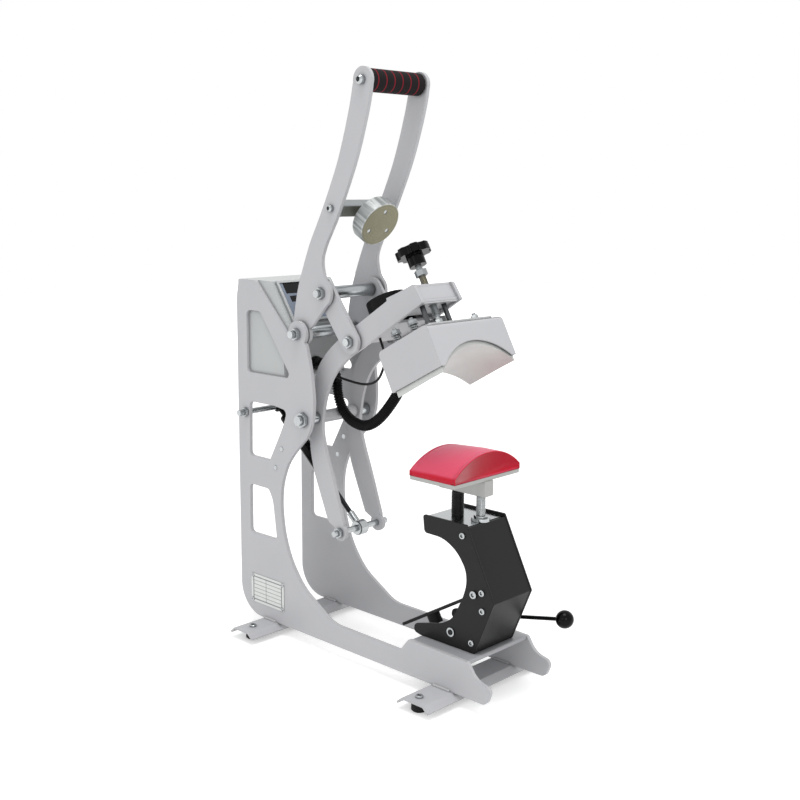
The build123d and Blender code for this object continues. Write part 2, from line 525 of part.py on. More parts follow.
# Pressure knob
KNOB_Z = ARM_TOP + 34.5
FLANGE_T = 2.5
FLANGE_Z = HOUSING_Z1 + FLANGE_T
STUD_TOP = KNOB_Z + 14
stud = post(0, STUD_F, STUD_R, FLANGE_Z + 7, STUD_TOP)
jam_nut = top_nut(0, STUD_F, 17, KNOB_Z - 16.5, 9) - post(0, STUD_F, STUD_R, KNOB_Z - 30, KNOB_Z)
save("pressure_stud", [shut_to_open(stud), shut_to_open(jam_nut)])
star = post(0, STUD_F, KNOB_R, KNOB_Z + 17, KNOB_Z + 30)
for n in range(7):
    angle = 2 * math.pi * n / 7
    star -= post((KNOB_R + 5) * math.cos(angle), STUD_F + (KNOB_R + 5) * math.sin(angle), 9, KNOB_Z + 10, KNOB_Z + 40)
star = fillet(star.edges().group_by(Axis.Z)[-1], 1.5)
star += post(0, STUD_F, 13.5, KNOB_Z, KNOB_Z + 17)
save("star_knob", shut_to_open(star - post(0, STUD_F, STUD_R, KNOB_Z - 5, STUD_TOP)))

# Heated head ---------------------------------------------------------------------------------
HEATER_X = HOUSING_W / 2 - SHEET_T - 2
HEATER_F0, HEATER_F1 = HOUSING_F0 + 5, HOUSING_F1 - 4
ARCH_AXIS = (0, ARCH_TOP - ARCH_R)
housing = block(-HOUSING_W / 2, HOUSING_W / 2, HOUSING_F0, HOUSING_F1, HOUSING_Z0, HOUSING_Z1)
housing = fillet(housing.edges().filter_by(Axis.X).group_by(Axis.Z)[-1], 8)
housing -= block(-HOUSING_W / 2 + SHEET_T, HOUSING_W / 2 - SHEET_T, HOUSING_F0 + SHEET_T, HOUSING_F1 - SHEET_T,
                 HOUSING_Z0 - 1, HOUSING_Z1 - SHEET_T)
housing -= along_f(0, ARCH_AXIS, ARCH_R, HOUSING_F0 - 1, HOUSING_F1 + 1)
POSTS = [(x, f) for x in (-40, 40) for f in (408, 476)]
for x, f in POSTS:
    housing -= post(x, f, 3, HOUSING_Z1 - 10, HOUSING_Z1 + 5)
HEAD_GLAND = (HOUSING_F0, HOUSING_Z1 - 17.5)
housing -= along_f(0, HEAD_GLAND, HOSE_BORE, HOUSING_F0 - 2, HOUSING_F0 + 5)
save("head_housing", shut_to_open(housing))
heater = arched(HEATER_F0, HEATER_F1, HEATER_X, None, PAD_GAP + HEATER_T)
save("heater_plate", shut_to_open(heater))
flange = block(-70, 70, 392, 484, HOUSING_Z1, FLANGE_Z)
for x, f in POSTS:
    flange -= post(x, f, 3, HOUSING_Z1 - 5, FLANGE_Z + 5)
save("head_flange", shut_to_open(fillet(flange.edges().filter_by(Axis.Z), 3)))
posts = []
around = arched(HEATER_F0, HEATER_F1, HEATER_X, HOUSING_Z0 - 30, PAD_GAP + HEATER_T)
for x, f in POSTS:
    stay = post(x, f, 6, HOUSING_Z1 - 50, HOUSING_Z1 - SHEET_T) - around
    stay += post(x, f, 3, HOUSING_Z1 - SHEET_T - 1, HOUSING_Z1 + 12)
    posts.append(shut_to_open(stay))
    posts.append(shut_to_open(top_nut(x, f, 10, FLANGE_Z, 6) - post(x, f, 3, FLANGE_Z - 5, FLANGE_Z + 20)))
save("heater_posts", posts)
socket = post(0, STUD_F, 12, FLANGE_Z, FLANGE_Z + 19) - post(0, STUD_F, STUD_R + RUN, FLANGE_Z + 2.5, FLANGE_Z + 25)
pins = [post(x, STUD_F, 4, FLANGE_Z, GUIDE_Z + 9) + post(x, STUD_F, 7, FLANGE_Z, FLANGE_Z + 6)
        for x in (-GUIDE_X, GUIDE_X)]
save("head_guides", [shut_to_open(piece) for piece in [socket, *pins]])
BOOT_R, BOOT_L = 14.0, 20.0
boot = along_f(0, HEAD_GLAND, BOOT_R, HOUSING_F0 - BOOT_L, HOUSING_F0)
boot -= along_f(0, HEAD_GLAND, BOOT_R - 2, HOUSING_F0 - BOOT_L - 10, HOUSING_F0 - 2)
boot -= along_f(0, HEAD_GLAND, HOSE_R, HOUSING_F0 - 5, HOUSING_F0 + 1)
save("head_boot", shut_to_open(boot))

# Gas spring ----------------------------------------------------------------------------------
run = Vector(0, *at(*E)) - Vector(0, *at(*F))
gas_axis = Plane(origin=(0, *at(*F)), z_dir=run)


def on_gas(radius, start, end):
    """A round bar along the gas spring, this far from its upper pin."""
    return gas_axis * Pos(0, 0, (start + end) / 2) * Cylinder(radius, end - start)


GAS_ROD_R = 4.0
cylinder = on_gas(11, 22, 152)
cylinder = fillet(cylinder.edges().filter_by(GeomType.CIRCLE), 2) + on_gas(5, 6, 22) + rod(F, 9, -6, 6)
cylinder -= rod(F, ROD_R + RUN, -7, 7) + on_gas(GAS_ROD_R + RUN, 30, 160)
save("gas_cylinder", cylinder)
save("gas_rod", on_gas(GAS_ROD_R, 90, run.length - 26))
EYE_BORE = ROD_R + 2.3
eye = on_gas(EYE_X - 1, run.length - 30, run.length - 8) + rod(E, 12.5, -EYE_X, EYE_X)
eye -= rod(E, EYE_BORE, -EYE_X - 1, EYE_X + 1) + on_gas(GAS_ROD_R, run.length - 40, run.length - 26)
save("gas_eye", eye)

# Hose and magnet lead ------------------------------------------------------------------------
def route(points, radii, x=0.0):
    """A line through side-view corners, each rounded by its radius, or by less where its legs are short."""
    corners = [Vector(x, *at(*p)) for p in points]
    legs = [ahead - back for back, ahead in zip(corners, corners[1:])]
    cuts = [r * math.tan(math.radians(a.get_angle(b)) / 2) for r, a, b in zip(radii, legs, legs[1:])]
    needs = [before + after for before, after in zip([0, *cuts], [*cuts, 0])]
    room = min(1.0, *(0.98 * leg.length / need for leg, need in zip(legs, needs)))
    return FilletPolyline(*corners, radius=[r * room for r in radii])


def swept(path, radius):
    return sweep(Plane(origin=path @ 0, z_dir=path % 0) * Circle(radius), path)


def ribbed(path, radius, depth, bore, ribs):
    """A ribbed hose: a ruled loft through four circles a rib, less its bore."""
    circles = []
    for n in range(ribs):
        for step, reach in ((0.0, radius - depth), (0.2, radius), (0.55, radius), (0.75, radius - depth)):
            share = (n + step) / ribs
            circles.append(Plane(origin=path @ share, x_dir=(1, 0, 0), z_dir=path % share) * Circle(reach))
    circles.append(Plane(origin=path @ 1, x_dir=(1, 0, 0), z_dir=path % 1) * Circle(radius - depth))
    return loft(circles, ruled=True) - swept(path, bore)


end = turned(HEAD_GLAND, D, OPEN)
into = (math.cos(math.radians(OPEN)), math.sin(math.radians(OPEN)))
hose_points = [(108, GLAND[1]), (D[0] + 7, GLAND[1]), (D[0] + 7, D[1] - 8), (D[0] + 78, D[1] - 8), (308, 420),
               (end[0] - 28 * into[0], end[1] - 28 * into[1]), end[:2]]
save("heater_hose", ribbed(route(hose_points, [33, 48, 50, 80, 34]), HOSE_R, RIB_H, HOSE_BORE, RIBS))
lead_end = turned((335, SEAT_Z), D, OPEN)
lead_points = [(108, 441), (213, 418.5), (254, 417.5), (lead_end[0] + 28 * into[1], lead_end[1] - 28 * into[0]),
               lead_end[:2]]
save("magnet_lead", swept(route(lead_points, [150, 34, 20], -20), CABLE_R))
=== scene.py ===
"""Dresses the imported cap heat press: finishes, ribbed hose, screw threads, welds and the soft pad."""

from __future__ import annotations

import functools
import json
import logging
import math
from dataclasses import dataclass, field, replace
from enum import Enum

import bmesh
import bpy
from mathutils import Matrix, Vector

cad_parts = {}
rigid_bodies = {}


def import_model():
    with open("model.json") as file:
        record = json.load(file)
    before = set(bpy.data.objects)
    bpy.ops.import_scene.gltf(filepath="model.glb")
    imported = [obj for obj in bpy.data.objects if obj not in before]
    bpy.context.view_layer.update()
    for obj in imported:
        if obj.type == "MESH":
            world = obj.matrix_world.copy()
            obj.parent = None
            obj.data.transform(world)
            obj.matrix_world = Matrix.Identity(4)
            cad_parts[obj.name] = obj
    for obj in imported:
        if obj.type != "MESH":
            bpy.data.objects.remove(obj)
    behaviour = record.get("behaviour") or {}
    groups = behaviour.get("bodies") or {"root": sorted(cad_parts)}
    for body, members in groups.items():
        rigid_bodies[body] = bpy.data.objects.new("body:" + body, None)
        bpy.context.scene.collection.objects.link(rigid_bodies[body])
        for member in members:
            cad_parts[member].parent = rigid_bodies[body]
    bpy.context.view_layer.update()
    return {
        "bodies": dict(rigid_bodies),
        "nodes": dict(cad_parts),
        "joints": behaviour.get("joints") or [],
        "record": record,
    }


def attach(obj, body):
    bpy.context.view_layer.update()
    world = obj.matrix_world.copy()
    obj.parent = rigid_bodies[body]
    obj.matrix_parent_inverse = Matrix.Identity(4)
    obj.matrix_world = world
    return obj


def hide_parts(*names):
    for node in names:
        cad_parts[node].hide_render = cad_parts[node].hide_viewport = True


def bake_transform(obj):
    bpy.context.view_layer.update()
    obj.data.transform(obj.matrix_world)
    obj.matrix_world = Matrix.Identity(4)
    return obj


LOG = logging.getLogger("cap_press")
MM = 0.001
BACK_EDGE_Y = 304.25 * MM  # y of the side plates' back edge
FOOT_HEIGHT = 20.0 * MM  # z of the foot bars' top face
HEAD_OPEN_DEG = 28.3  # head arms stand this far back from shut
HANDLE_OPEN_DEG = 60.206
Point = tuple[float, float]


def place(forward: float, up: float, across: float = 0.0) -> Vector:
    """Turns a side-view point in mm into a scene point.

    Args:
        forward: distance in front of the side plates' back edge.
        up: height above the foot bars' top face.
        across: distance to the right of the middle plane.

    Returns:
        The point in metres.
    """
    return Vector((across * MM, BACK_EDGE_Y - forward * MM, FOOT_HEIGHT + up * MM))


def swing(about: Point, degrees: float) -> Matrix:
    """Gives the turn that takes what is drawn shut back to where it stands open.

    Args:
        about: the pivot in the side view, in mm.
        degrees: the swing from open to shut.

    Returns:
        The matrix of the turn in the scene.
    """
    pivot = place(*about)
    turn = Matrix.Rotation(math.radians(-degrees), 4, "X")
    return Matrix.Translation(pivot) @ turn @ Matrix.Translation(-pivot)


def linear(code: str) -> tuple[float, float, float, float]:
    """Turns an sRGB hex colour into Blender's linear RGBA.

    Args:
        code: six hex digits with a leading hash.

    Returns:
        Linear red, green, blue and alpha.
    """
    shares = [int(code[i : i + 2], 16) / 255 for i in (1, 3, 5)]
    red, green, blue = (c / 12.92 if c <= 0.04045 else ((c + 0.055) / 1.055) ** 2.4 for c in shares)
    return red, green, blue, 1.0


def add_node(tree: bpy.types.NodeTree, kind: str, links: dict | None = None, **settings: object) -> bpy.types.Node:
    """Adds one node with its settings and inputs.

    Args:
        tree: the tree that gets the node.
        kind: the node's type name.
        links: input name or number to a value, or to an output socket.
        settings: the node's own properties.

    Returns:
        The new node.
    """
    node = tree.nodes.new(kind)
    for key, value in settings.items():
        setattr(node, key, value)
    for key, value in (links or {}).items():
        if isinstance(value, bpy.types.NodeSocket):
            tree.links.new(value, node.inputs[key])
        else:
            node.inputs[key].default_value = value
    return node


class Grain(Enum):
    """How a surface was made, which decides its fine relief."""

    PEEL = "orange peel of a baked powder coat"
    WRINKLE = "fine wrinkle of a textured coat"
    BRUSHED = "straight brush lines"
    TURNED = "rings left by a lathe"
    PLATED = "soft ripple of a zinc dip"
    PORES = "open cells of foam"
    MOULDED = "faint flow of a moulding"


@dataclass(frozen=True)
class Finish:
    """A finish of one of the press's materials.

    Sizes are in mm. Colours are sRGB hex.
    """

    name: str
    colour: str
    roughness: float
    grain: Grain
    grain_mm: float
    relief_mm: float
    mottle: str | None = None
    mottle_mm: float = 30.0
    metallic: float = 0.0
    coat: float = 0.0
    sheen: float = 0.0
    scatter_mm: float = 0.0
    ior: float = 1.5
    centre: tuple[float, float, float] = (0.0, 0.0, 0.0)
    tilt_deg: float = 0.0
    rim_colour: str | None = None
    # The next colour is laid in streaks along the rim: painted reflections.
    rim_painted_reflection: str = "#FFFFFF"
    rim_mm: float = 0.0
    edge_mm: float = 0.0
    specular: float = 0.5
    # The next two fields paint shade: the colour is darkened by up to this share where ambient occlusion finds other
    # surfaces within the given distance.
    crevice_shade: float = 0.0
    crevice_shade_mm: float = 6.0
    # The field below is a paler colour painted on faces that look up: painted light on the top.
    painted_top_light: str | None = None

    def _relief(self, tree: bpy.types.NodeTree, place_out: bpy.types.NodeSocket) -> bpy.types.NodeSocket:
        """Makes the height pattern of the grain.

        Args:
            tree: the material's tree.
            place_out: the piece's own coordinates.

        Returns:
            The socket with the height.
        """
        scale = 1.0 / (self.grain_mm * MM)
        if self.grain is Grain.BRUSHED:
            stretched = add_node(tree, "ShaderNodeMapping", {"Vector": place_out, "Scale": (0.06, 1.0, 1.0)})
            wave = add_node(tree, "ShaderNodeTexNoise", {"Vector": stretched.outputs[0], "Scale": scale, "Detail": 2.0})
            return wave.outputs[0]
        if self.grain is Grain.TURNED:
            rings = add_node(
                tree,
                "ShaderNodeTexWave",
                {"Vector": place_out, "Scale": scale / 20, "Distortion": 0.4, "Detail": 1.0},
                wave_type="RINGS",
                rings_direction="Z",
            )
            return rings.outputs["Fac"]
        if self.grain is Grain.PORES:
            cells = add_node(tree, "ShaderNodeTexVoronoi", {"Vector": place_out, "Scale": scale})
            return cells.outputs["Distance"]
        detail = 3.0 if self.grain is Grain.WRINKLE else 1.0
        noise = add_node(tree, "ShaderNodeTexNoise", {"Vector": place_out, "Scale": scale, "Detail": detail})
        return noise.outputs[0]

    @functools.cache
    def material(self) -> bpy.types.Material:
        """Builds the finish's material once.

        Returns:
            The node material.
        """
        made = bpy.data.materials.new(self.name)
        made.use_nodes = True
        tree = made.node_tree
        tree.nodes.clear()
        coords = add_node(tree, "ShaderNodeTexCoord")
        centred = add_node(
            tree,
            "ShaderNodeMapping",
            {"Vector": coords.outputs["Object"], "Location": self.centre, "Rotation": (math.radians(self.tilt_deg), 0, 0)},
            vector_type="TEXTURE",
        )
        here = centred.outputs[0]
        shader = add_node(
            tree,
            "ShaderNodeBsdfPrincipled",
            {"Metallic": self.metallic, "IOR": self.ior, "Coat Weight": self.coat, "Coat Roughness": 0.12,
             "Sheen Weight": self.sheen, "Sheen Roughness": 0.2, "Specular IOR Level": self.specular,
             "Base Color": linear(self.colour), "Roughness": self.roughness},
        )
        if self.scatter_mm:
            shader.inputs["Subsurface Weight"].default_value = 0.25
            reach = self.scatter_mm * MM
            shader.inputs["Subsurface Radius"].default_value = (reach, reach * 0.2, reach * 0.15)
            shader.inputs["Subsurface Scale"].default_value = 1.0
        tint = None
        if self.mottle:
            cloud = add_node(tree, "ShaderNodeTexNoise", {"Vector": here, "Scale": 1.0 / (self.mottle_mm * MM), "Detail": 3.0})
            blend = add_node(
                tree,
                "ShaderNodeMix",
                {"Factor": cloud.outputs[0], 6: linear(self.colour), 7: linear(self.mottle)},
                data_type="RGBA",
            )
            tint = blend.outputs[2]
        if self.rim_colour:
            flat = add_node(tree, "ShaderNodeVectorMath", {0: here, 1: (1.0, 1.0, 0.0)}, operation="MULTIPLY")
            reach = add_node(tree, "ShaderNodeVectorMath", {0: flat.outputs[0]}, operation="LENGTH")
            outside = add_node(
                tree, "ShaderNodeMath", {0: reach.outputs["Value"], 1: self.rim_mm * MM}, operation="GREATER_THAN"
            )
            # Painted reflection: pale streaks run along the axis over the rim's colour.
            lengthwise = add_node(tree, "ShaderNodeMapping", {"Vector": here, "Scale": (1.0, 1.0, 0.08)})
            reflection_streaks = add_node(tree, "ShaderNodeTexNoise", {"Vector": lengthwise.outputs[0], "Scale": 160.0, "Detail": 3.0})
            sharp = add_node(tree, "ShaderNodeMapRange", {"Value": reflection_streaks.outputs[0], "From Min": 0.38, "From Max": 0.62})
            shades = {"Factor": sharp.outputs[0], 6: linear(self.rim_colour), 7: linear(self.rim_painted_reflection)}
            rim = add_node(tree, "ShaderNodeMix", shades, data_type="RGBA")
            face = {"Factor": outside.outputs[0], 6: tint or linear(self.colour), 7: rim.outputs[2]}
            tint = add_node(tree, "ShaderNodeMix", face, data_type="RGBA").outputs[2]
        # Painted light: faces that look up are blended towards a paler colour.
        if self.painted_top_light:
            facing = add_node(tree, "ShaderNodeNewGeometry")
            upward = add_node(tree, "ShaderNodeSeparateXYZ", {0: facing.outputs["Normal"]})
            laid = add_node(tree, "ShaderNodeMapRange", {"Value": upward.outputs[2], "From Min": 0.25, "From Max": 1.0})
            top_light_mix = {"Factor": laid.outputs[0], 6: tint or linear(self.colour), 7: linear(self.painted_top_light)}
            tint = add_node(tree, "ShaderNodeMix", top_light_mix, data_type="RGBA").outputs[2]
        # Painted shade: the colour is darkened where ambient occlusion finds other surfaces close by.
        if self.crevice_shade:
            near = add_node(tree, "ShaderNodeAmbientOcclusion", {"Distance": self.crevice_shade_mm * MM}, samples=8)
            shade = add_node(
                tree,
                "ShaderNodeMapRange",
                {"Value": near.outputs["AO"], "From Min": 0.35, "From Max": 0.95, "To Min": 1.0 - self.crevice_shade},
            )
            painted_shade_colour = {0: tint or linear(self.colour)[:3], "Scale": shade.outputs[0]}
            tint = add_node(tree, "ShaderNodeVectorMath", painted_shade_colour, operation="SCALE").outputs[0]
        if tint:
            tree.links.new(tint, shader.inputs["Base Color"])
        height = self._relief(tree, here)
        spread = add_node(
            tree,
            "ShaderNodeMapRange",
            {"Value": height, "To Min": max(self.roughness - 0.06, 0.02), "To Max": min(self.roughness + 0.08, 1.0)},
        )
        tree.links.new(spread.outputs[0], shader.inputs["Roughness"])
        bump = add_node(tree, "ShaderNodeBump", {"Height": height, "Distance": self.relief_mm * MM, "Strength": 0.6})
        if self.edge_mm:
            worn = add_node(tree, "ShaderNodeBevel", {"Radius": self.edge_mm * MM}, samples=6)
            tree.links.new(worn.outputs[0], bump.inputs["Normal"])
        tree.links.new(bump.outputs[0], shader.inputs["Normal"])
        add_node(tree, "ShaderNodeOutputMaterial", {"Surface": shader.outputs[0]})
        return made


# Every finish below that is given a crevice share has painted shade darkening its corners, sockets and joints.
# Baked polyester powder on laser-cut steel: an even satin grey with a faint orange peel and soft edges.
# Painted shade darkens the coat where plates meet, which draws a thin dark line round each of them.
GREY_POWDER = Finish(
    "grey_powder_coat", "#BBBBBE", 0.40, Grain.PEEL, 1.6, 0.05, "#B5B6B9", 60.0, edge_mm=1.2, crevice_shade=0.45
)
GREY_BOX_POWDER = Finish(
    "grey_box_powder_coat", "#B9BCBC", 0.38, Grain.PEEL, 1.6, 0.05, "#B2B5B5", 40.0, edge_mm=1.2, crevice_shade=0.45
)
# The same coat on the table, painted darker all over to stand for the shade that the stand above casts on it.
TABLE_SHADED_POWDER = replace(GREY_POWDER, name="table_shaded_grey_powder_coat", colour="#A5A6A9", mottle="#9B9CA0", mottle_mm=35.0)
# Fine-texture black powder: the sparkle is broken up, so edges stay soft.
BLACK_POWDER = Finish(
    "black_powder_coat", "#161617", 0.42, Grain.WRINKLE, 0.9, 0.06, "#121213", 25.0, edge_mm=1.4, specular=0.24
)
# Bright zinc on turned steel: mirror-like with a soft ripple, and painted shade darkening each socket and root.
ZINC = Finish(
    "bright_zinc_plate", "#BDC0C1", 0.18, Grain.PLATED, 3.0, 0.02, "#A4A8AA", 4.0, metallic=1.0, edge_mm=0.5,
    crevice_shade=0.75, crevice_shade_mm=3.0
)
YELLOW_ZINC = Finish(
    "yellow_zinc_plate", "#8F8970", 0.32, Grain.PLATED, 2.0, 0.02, "#6F6A55", 5.0, metallic=1.0, crevice_shade=0.6
)
# Drawn tube and bar stock, only lightly polished.
DRAWN_STEEL = Finish(
    "drawn_steel_bar", "#A2A6A8", 0.34, Grain.BRUSHED, 0.4, 0.02, "#8C9092", 8.0, metallic=0.8, edge_mm=0.8, crevice_shade=0.6
)
# Bored tube, polished bright enough to carry one sharp streak of light.
TUBE_STEEL = Finish("bright_drawn_tube", "#AEB2B4", 0.28, Grain.BRUSHED, 0.4, 0.02, metallic=0.95, edge_mm=0.6, crevice_shade=0.6)
BRUSHED_ALUMINIUM = Finish(
    "brushed_aluminium", "#D0D2D2", 0.34, Grain.BRUSHED, 0.5, 0.02, "#BEC0C1", 15.0, metallic=0.85, edge_mm=0.8,
    crevice_shade=0.5
)
# Sawn and milled bar of the platen, left dull.
MILLED_ALUMINIUM = Finish(
    "milled_platen_aluminium", "#AFB0AD", 0.42, Grain.BRUSHED, 0.5, 0.02, "#A2A3A0", 12.0, metallic=0.4, edge_mm=0.8,
    specular=0.3, crevice_shade=0.5
)
# Cast and skimmed heater under a release coat, which is why it mirrors only softly.
HEATER_METAL = Finish(
    "release_coated_aluminium", "#C9CCCA", 0.44, Grain.PLATED, 6.0, 0.03, "#BDBFBC", 30.0, metallic=0.45, crevice_shade=0.4
)
ROD_STEEL = Finish("black_nitrided_rod", "#2C2D2F", 0.28, Grain.BRUSHED, 0.4, 0.01, metallic=1.0)
# Ground guide pins, darkened by heat and grease.
GUIDE_STEEL = Finish("greased_guide_pin", "#606264", 0.3, Grain.BRUSHED, 0.4, 0.01, "#4C4E50", 6.0, metallic=0.9, crevice_shade=0.5)
GLOSS_BLACK = Finish("gloss_black_phenolic", "#040405", 0.14, Grain.MOULDED, 8.0, 0.03, specular=0.13, edge_mm=0.8)
SATIN_BLACK = Finish("satin_black_nylon", "#0B0B0C", 0.42, Grain.MOULDED, 1.5, 0.03, specular=0.25)
PIT_BLACK = Finish("black_pot_magnet", "#060607", 0.46, Grain.WRINKLE, 1.2, 0.04, specular=0.14, edge_mm=1.0)
# Corrugated nylon conduit: dull, so that only the ribs' tops catch the light.
HOSE_BLACK = Finish("corrugated_nylon", "#050506", 0.42, Grain.MOULDED, 1.5, 0.02, specular=0.12, crevice_shade=0.8, crevice_shade_mm=2.0)
RUBBER = Finish("black_rubber", "#0E0E0F", 0.66, Grain.WRINKLE, 0.8, 0.04, specular=0.25)
FOAM = Finish("black_foam", "#131012", 0.82, Grain.PORES, 0.9, 0.12, "#1C1719", 4.0, sheen=0.1, specular=0.2)
FOAM_RED = Finish("red_foam", "#7A1522", 0.78, Grain.PORES, 0.9, 0.12, sheen=0.1, specular=0.2)
# Cast silicone rubber: light enters a little, and a paler pink is painted where the crown looks up, as painted light on
# its top.
SILICONE = Finish(
    "red_silicone", "#C2122E", 0.42, Grain.MOULDED, 5.0, 0.03, "#B60E28", 35.0, sheen=0.2, scatter_mm=1.5, specular=0.2,
    painted_top_light="#DC5C76"
)
SMOKED = Finish("smoked_window", "#08090D", 0.12, Grain.MOULDED, 20.0, 0.01, specular=0.2)
PANEL_GREY = Finish(
    "printed_front_label", "#7F8897", 0.36, Grain.MOULDED, 3.0, 0.01, "#737D8D", 14.0, specular=0.4, crevice_shade=0.5
)
PLATE_METAL = Finish("etched_plate", "#D9DAD8", 0.40, Grain.BRUSHED, 0.4, 0.02, "#CBCDCB", 6.0, metallic=0.4, crevice_shade=0.6)
# Lines etched into the nameplate's blank form.
ETCHED_LINE = Finish("etched_line", "#8D9092", 0.60, Grain.BRUSHED, 0.4, 0.01, "#7C7F81", 4.0)


@dataclass
class SubAssembly:
    """A group of the press's pieces that is dressed together."""

    frame: dict
    made: list[str] = field(default_factory=list)

    def dress(self, finish: Finish, *nodes: str) -> None:
        """Gives CAD nodes a finish.

        Args:
            finish: what they are made of.
            nodes: the CAD nodes' names.
        """
        for name in nodes:
            for slot in self.frame["nodes"][name].material_slots:
                slot.material = finish.material()
            LOG.info("%s dressed in %s", name, finish.name)

    def keep(self, name: str, mesh: bpy.types.Mesh, finish: Finish, body: str, smooth: bool = True) -> bpy.types.Object:
        """Puts a finished mesh in the scene on a body.

        Args:
            name: the piece's name.
            mesh: its mesh, already in place.
            finish: its material.
            body: the CAD body that carries it, or an empty string for a piece left on no body.
            smooth: whether its faces are shaded smooth.

        Returns:
            The new object.
        """
        mesh.name = name
        mesh.materials.clear()
        mesh.materials.append(finish.material())
        mesh.polygons.foreach_set("use_smooth", [smooth] * len(mesh.polygons))
        piece = bpy.data.objects.new(name, mesh)
        bpy.context.scene.collection.objects.link(piece)
        if body:
            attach(piece, body)
        self.made.append(name)
        LOG.info("%s made, %d faces", name, len(mesh.polygons))
        return piece


@dataclass
class NodeTreeMaker:
    """Runs a geometry tree on a carrier object and hands back a plain mesh."""

    name: str
    inputs: dict[str, float]

    def open_tree(self) -> tuple[bpy.types.NodeTree, bpy.types.Node]:
        """Starts the tree with its geometry and named size inputs.

        Returns:
            The tree and its Group Input node.
        """
        tree = bpy.data.node_groups.new(self.name, "GeometryNodeTree")
        tree.interface.new_socket("Geometry", in_out="INPUT", socket_type="NodeSocketGeometry")
        for label, value in self.inputs.items():
            kind = "NodeSocketInt" if isinstance(value, int) else "NodeSocketFloat"
            tree.interface.new_socket(label, in_out="INPUT", socket_type=kind)
        tree.interface.new_socket("Geometry", in_out="OUTPUT", socket_type="NodeSocketGeometry")
        return tree, add_node(tree, "NodeGroupInput")

    def close_tree(self, tree: bpy.types.NodeTree, geometry: bpy.types.NodeSocket, finish: Finish) -> None:
        """Ends the tree in real geometry with its material.

        Args:
            tree: the tree.
            geometry: the socket with the shape.
            finish: the finish to set.
        """
        real = add_node(tree, "GeometryNodeRealizeInstances", {"Geometry": geometry})
        dressed = add_node(tree, "GeometryNodeSetMaterial", {"Geometry": real.outputs[0], "Material": finish.material()})
        add_node(tree, "NodeGroupOutput", {0: dressed.outputs[0]})

    def run(self, tree: bpy.types.NodeTree, carrier: bpy.types.ID) -> bpy.types.Mesh:
        """Evaluates the tree.

        Args:
            tree: the finished tree.
            carrier: the curve or mesh that it works on.

        Returns:
            The result as a plain mesh.
        """
        holder = bpy.data.objects.new(self.name + "_carrier", carrier)
        bpy.context.scene.collection.objects.link(holder)
        modifier = holder.modifiers.new(self.name, "NODES")
        modifier.node_group = tree
        for item in tree.interface.items_tree:
            if item.item_type == "SOCKET" and item.in_out == "INPUT" and item.name in self.inputs:
                modifier[item.identifier] = self.inputs[item.name]
        graph = bpy.context.evaluated_depsgraph_get()
        mesh = bpy.data.meshes.new_from_object(holder.evaluated_get(graph), depsgraph=graph)
        bpy.data.objects.remove(holder)
        return mesh


def helix(radius_mm: float, pitch_mm: float, length_mm: float, wire_mm: float, finish: Finish) -> bpy.types.Mesh:
    """Winds a screw thread's ridge or a coil spring, standing on the origin along +Z.

    Args:
        radius_mm: radius of the winding.
        pitch_mm: rise per turn.
        length_mm: length of the winding.
        wire_mm: half thickness of the ridge or wire.
        finish: its finish.

    Returns:
        The winding as a plain mesh.
    """
    maker = NodeTreeMaker(
        "screw_thread",
        {"Radius": radius_mm * MM, "Pitch": pitch_mm * MM, "Length": length_mm * MM, "Ridge": wire_mm * MM},
    )
    tree, given = maker.open_tree()
    turns = add_node(tree, "ShaderNodeMath", {0: given.outputs["Length"], 1: given.outputs["Pitch"]}, operation="DIVIDE")
    spiral = add_node(
        tree,
        "GeometryNodeCurveSpiral",
        {"Resolution": 20, "Rotations": turns.outputs[0], "Start Radius": given.outputs["Radius"],
         "End Radius": given.outputs["Radius"], "Height": given.outputs["Length"]},
    )
    ridge = add_node(tree, "GeometryNodeCurvePrimitiveCircle", {"Resolution": 6, "Radius": given.outputs["Ridge"]})
    body = add_node(
        tree, "GeometryNodeCurveToMesh", {"Curve": spiral.outputs[0], "Profile Curve": ridge.outputs[0], "Fill Caps": True}
    )
    maker.close_tree(tree, body.outputs[0], finish)
    return maker.run(tree, bpy.data.meshes.new("thread_seed"))


def spun(profile: list[Point], sides: int) -> bpy.types.Mesh:
    """Spins a closed profile about the Z axis: a round part, or a hexagon one with six sides.

    Args:
        profile: (radius, height) points in mm, from the lower end on the axis or bore round to the upper.
        sides: how many sides the part has.

    Returns:
        The closed mesh.
    """
    work = bmesh.new()
    rings = []
    for radius, height in profile:
        if radius == 0:
            rings.append([work.verts.new((0.0, 0.0, height * MM))] * sides)
            continue
        angles = [2 * math.pi * n / sides for n in range(sides)]
        rings.append([work.verts.new((radius * MM * math.cos(a), radius * MM * math.sin(a), height * MM)) for a in angles])
    pairs = list(zip(rings, rings[1:]))
    if profile[0][0] and profile[-1][0]:
        pairs.append((rings[-1], rings[0]))
    for lower, upper in pairs:
        for n in range(sides):
            corners = [lower[n], lower[(n + 1) % sides], upper[(n + 1) % sides], upper[n]]
            work.faces.new(list(dict.fromkeys(corners)))
    bmesh.ops.recalc_face_normals(work, faces=work.faces)
    mesh = bpy.data.meshes.new("spun")
    work.to_mesh(mesh)
    work.free()
    return mesh


def joined(parts: list[tuple[bpy.types.Mesh, Matrix]]) -> bpy.types.Mesh:
    """Puts several meshes into one.

    Args:
        parts: each mesh and the matrix that places it.

    Returns:
        The joint mesh.
    """
    work = bmesh.new()
    for mesh, at in parts:
        placed = mesh.copy()
        placed.transform(at)
        work.from_mesh(placed)
        bpy.data.meshes.remove(placed)
    whole = bpy.data.meshes.new("joined")
    work.to_mesh(whole)
    work.free()
    return whole


